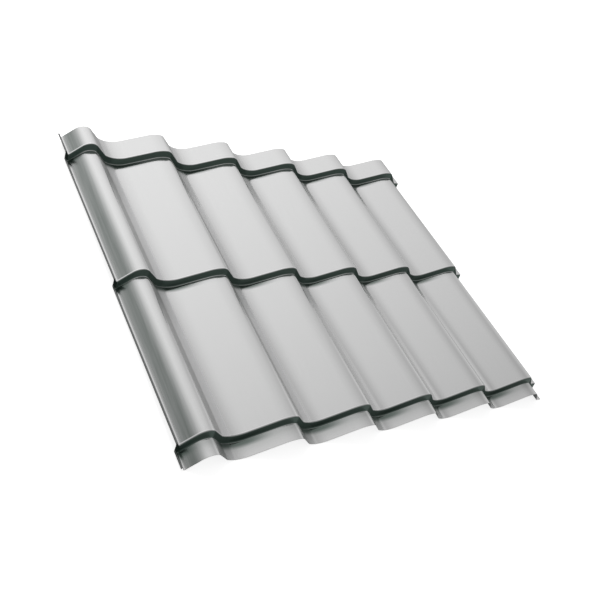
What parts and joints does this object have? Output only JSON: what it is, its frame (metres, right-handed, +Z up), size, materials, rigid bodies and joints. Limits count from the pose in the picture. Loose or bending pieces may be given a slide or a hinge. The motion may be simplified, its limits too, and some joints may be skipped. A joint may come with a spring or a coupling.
{
  "type": "tile effect roofing sheet",
  "caption": "Metal roofing sheet rolled into rounded, lopsided waves and pressed into tile steps, with a drain channel and lip down one side and an overlapping flange down the other",
  "frame": {"origin": "middle of the sheet's footprint, at the level it rests on", "axes": "+X across the waves, from the drain-channel side to the overlapping side; +Y up the roof slope; +Z up, the weather side"},
  "size_m": [1.1256, 0.9176, 0.0559],
  "materials": {
    "coated_steel": "smooth satin silver-grey coating"
  },
  "bodies": {
    "root": {"roofing_sheet": "coated_steel"}
  },
  "joints": []
}
